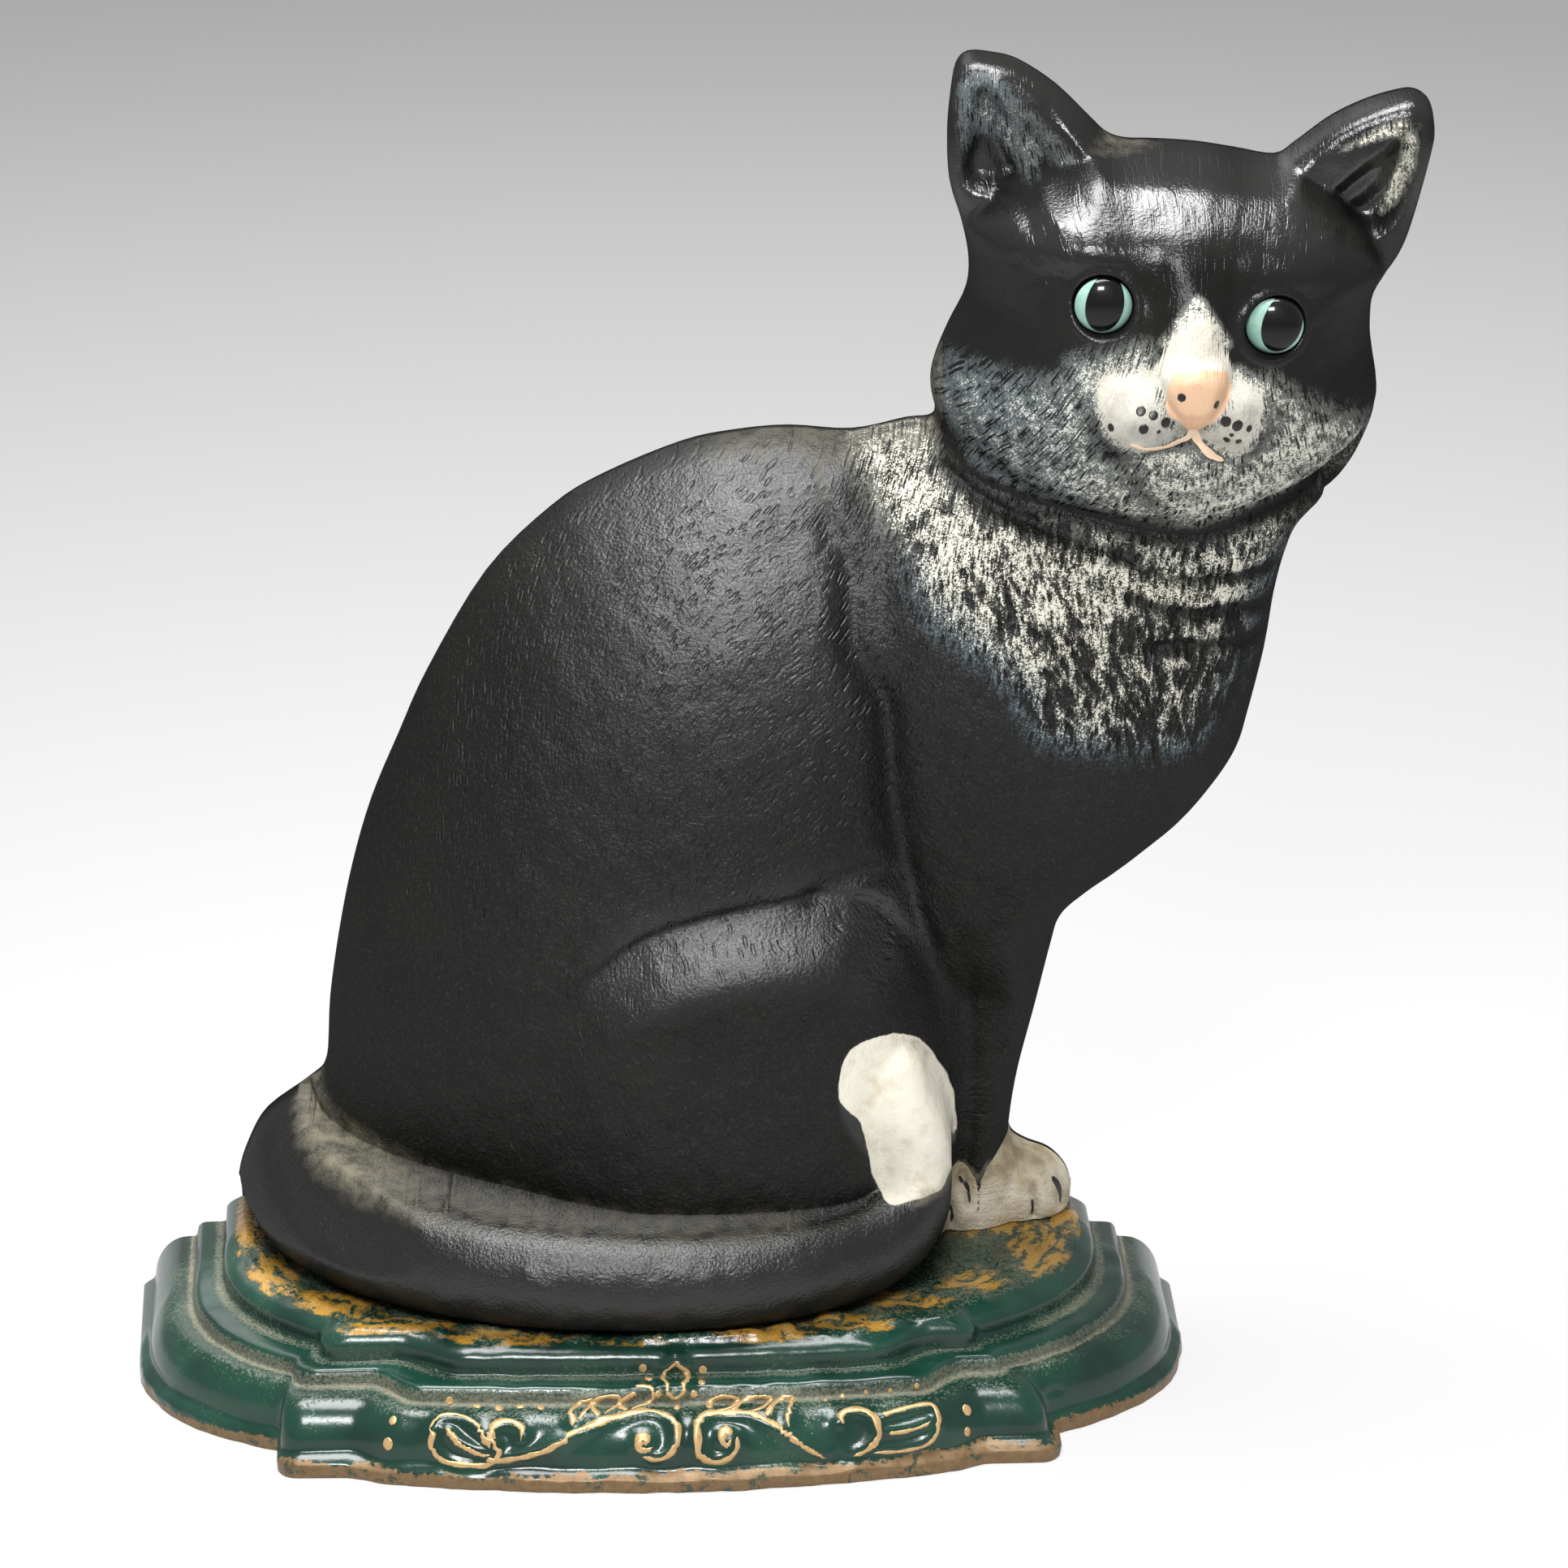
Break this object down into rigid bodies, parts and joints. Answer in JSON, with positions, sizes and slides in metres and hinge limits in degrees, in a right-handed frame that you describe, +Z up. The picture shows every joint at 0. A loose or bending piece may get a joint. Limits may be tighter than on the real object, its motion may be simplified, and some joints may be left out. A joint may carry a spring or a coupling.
{
  "type": "cast iron doorstop",
  "caption": "Half-round cast iron doorstop: a seated cat with a curled tail on a stepped, bow-fronted plinth, open and flat at the back.",
  "frame": {"origin": "on the floor, under the middle of the bounding box", "axes": "+Z up, -Y towards the viewer out of the modelled front, +Y out of the flat open back, +X to the viewer's right"},
  "size_m": [0.2912, 0.101, 0.3004],
  "materials": {
    "black_paint": "black enamel, dry-brushed white on the face and ruff",
    "green_paint": "dark green gloss enamel with gold-bronze rim and scrolls",
    "eye_enamel": "mint green with a black pupil, high gloss",
    "screw_steel": "plain steel"
  },
  "bodies": {
    "root": {"cat_figure": "black_paint", "plinth": "green_paint", "left_eye": "eye_enamel", "right_eye": "eye_enamel", "plinth_screw_left": "screw_steel", "plinth_screw_right": "screw_steel", "screw_washer_left": "screw_steel", "screw_washer_right": "screw_steel"}
  },
  "joints": []
}
